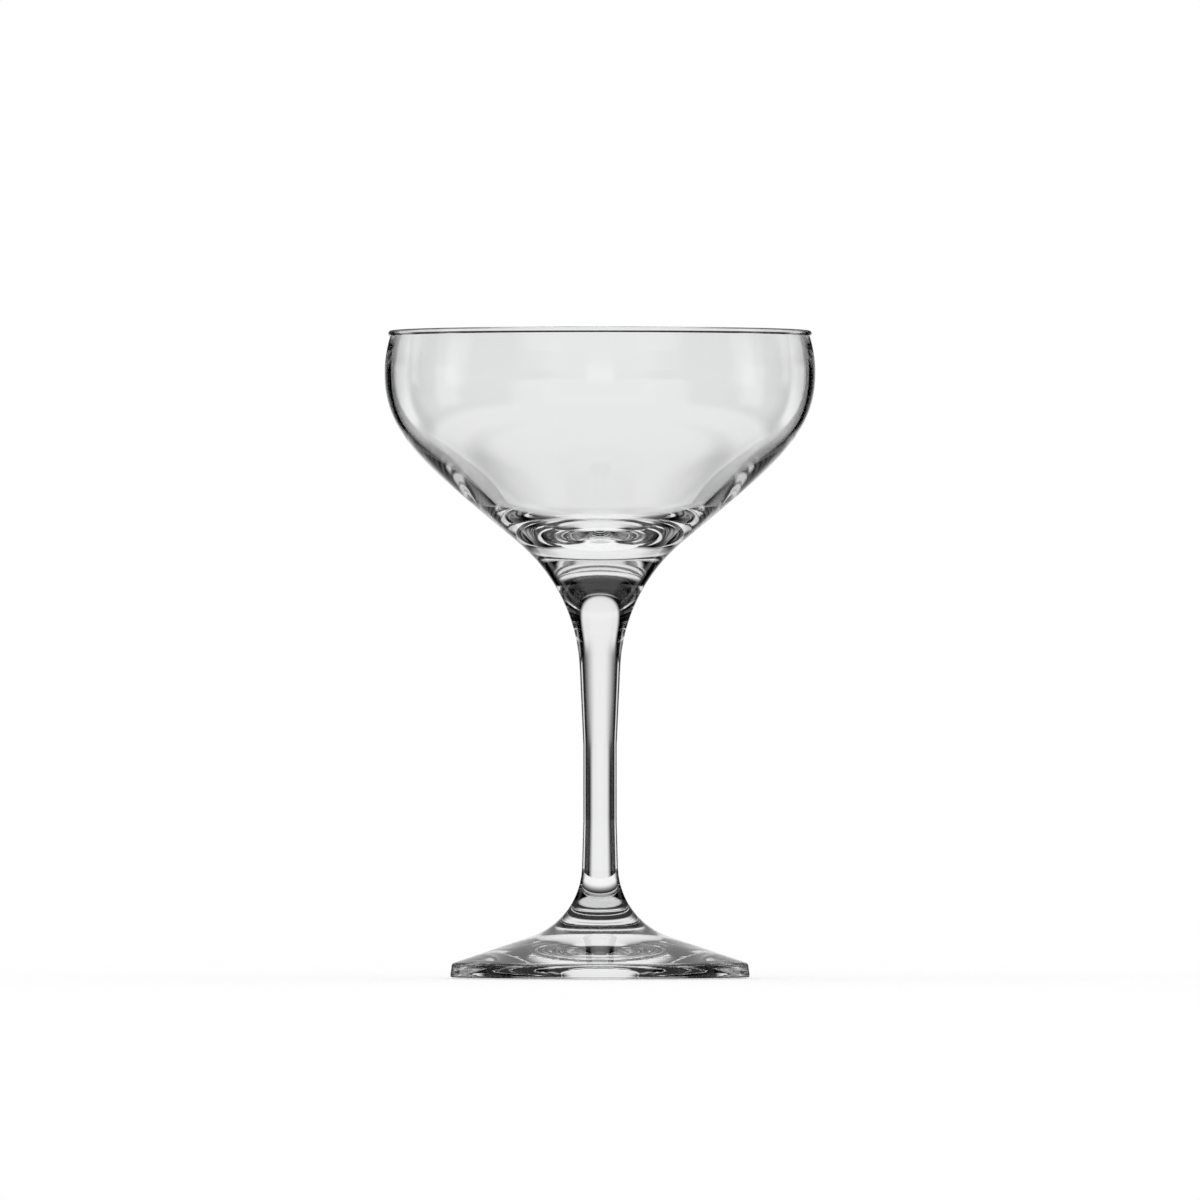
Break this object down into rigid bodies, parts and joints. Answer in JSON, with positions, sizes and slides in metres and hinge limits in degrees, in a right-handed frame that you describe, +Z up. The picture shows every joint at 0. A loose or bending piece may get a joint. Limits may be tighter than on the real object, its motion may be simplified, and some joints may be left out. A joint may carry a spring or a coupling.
{
  "type": "cocktail glass",
  "caption": "Stemmed clear cocktail glass: a wide, shallow bowl with a thin beaded rim, on a slim solid stem and a low conical foot.",
  "frame": {"origin": "centre of the foot, on the plane that it stands on", "axes": "+Z up along the glass's axis, from the foot through the stem to the rim; X and Y are alike, because the glass is round"},
  "size_m": [0.1032, 0.1032, 0.155],
  "materials": {
    "clear_glass": "fire-polished, clear"
  },
  "bodies": {
    "root": {"bowl": "clear_glass", "stem": "clear_glass", "foot": "clear_glass"}
  },
  "joints": []
}
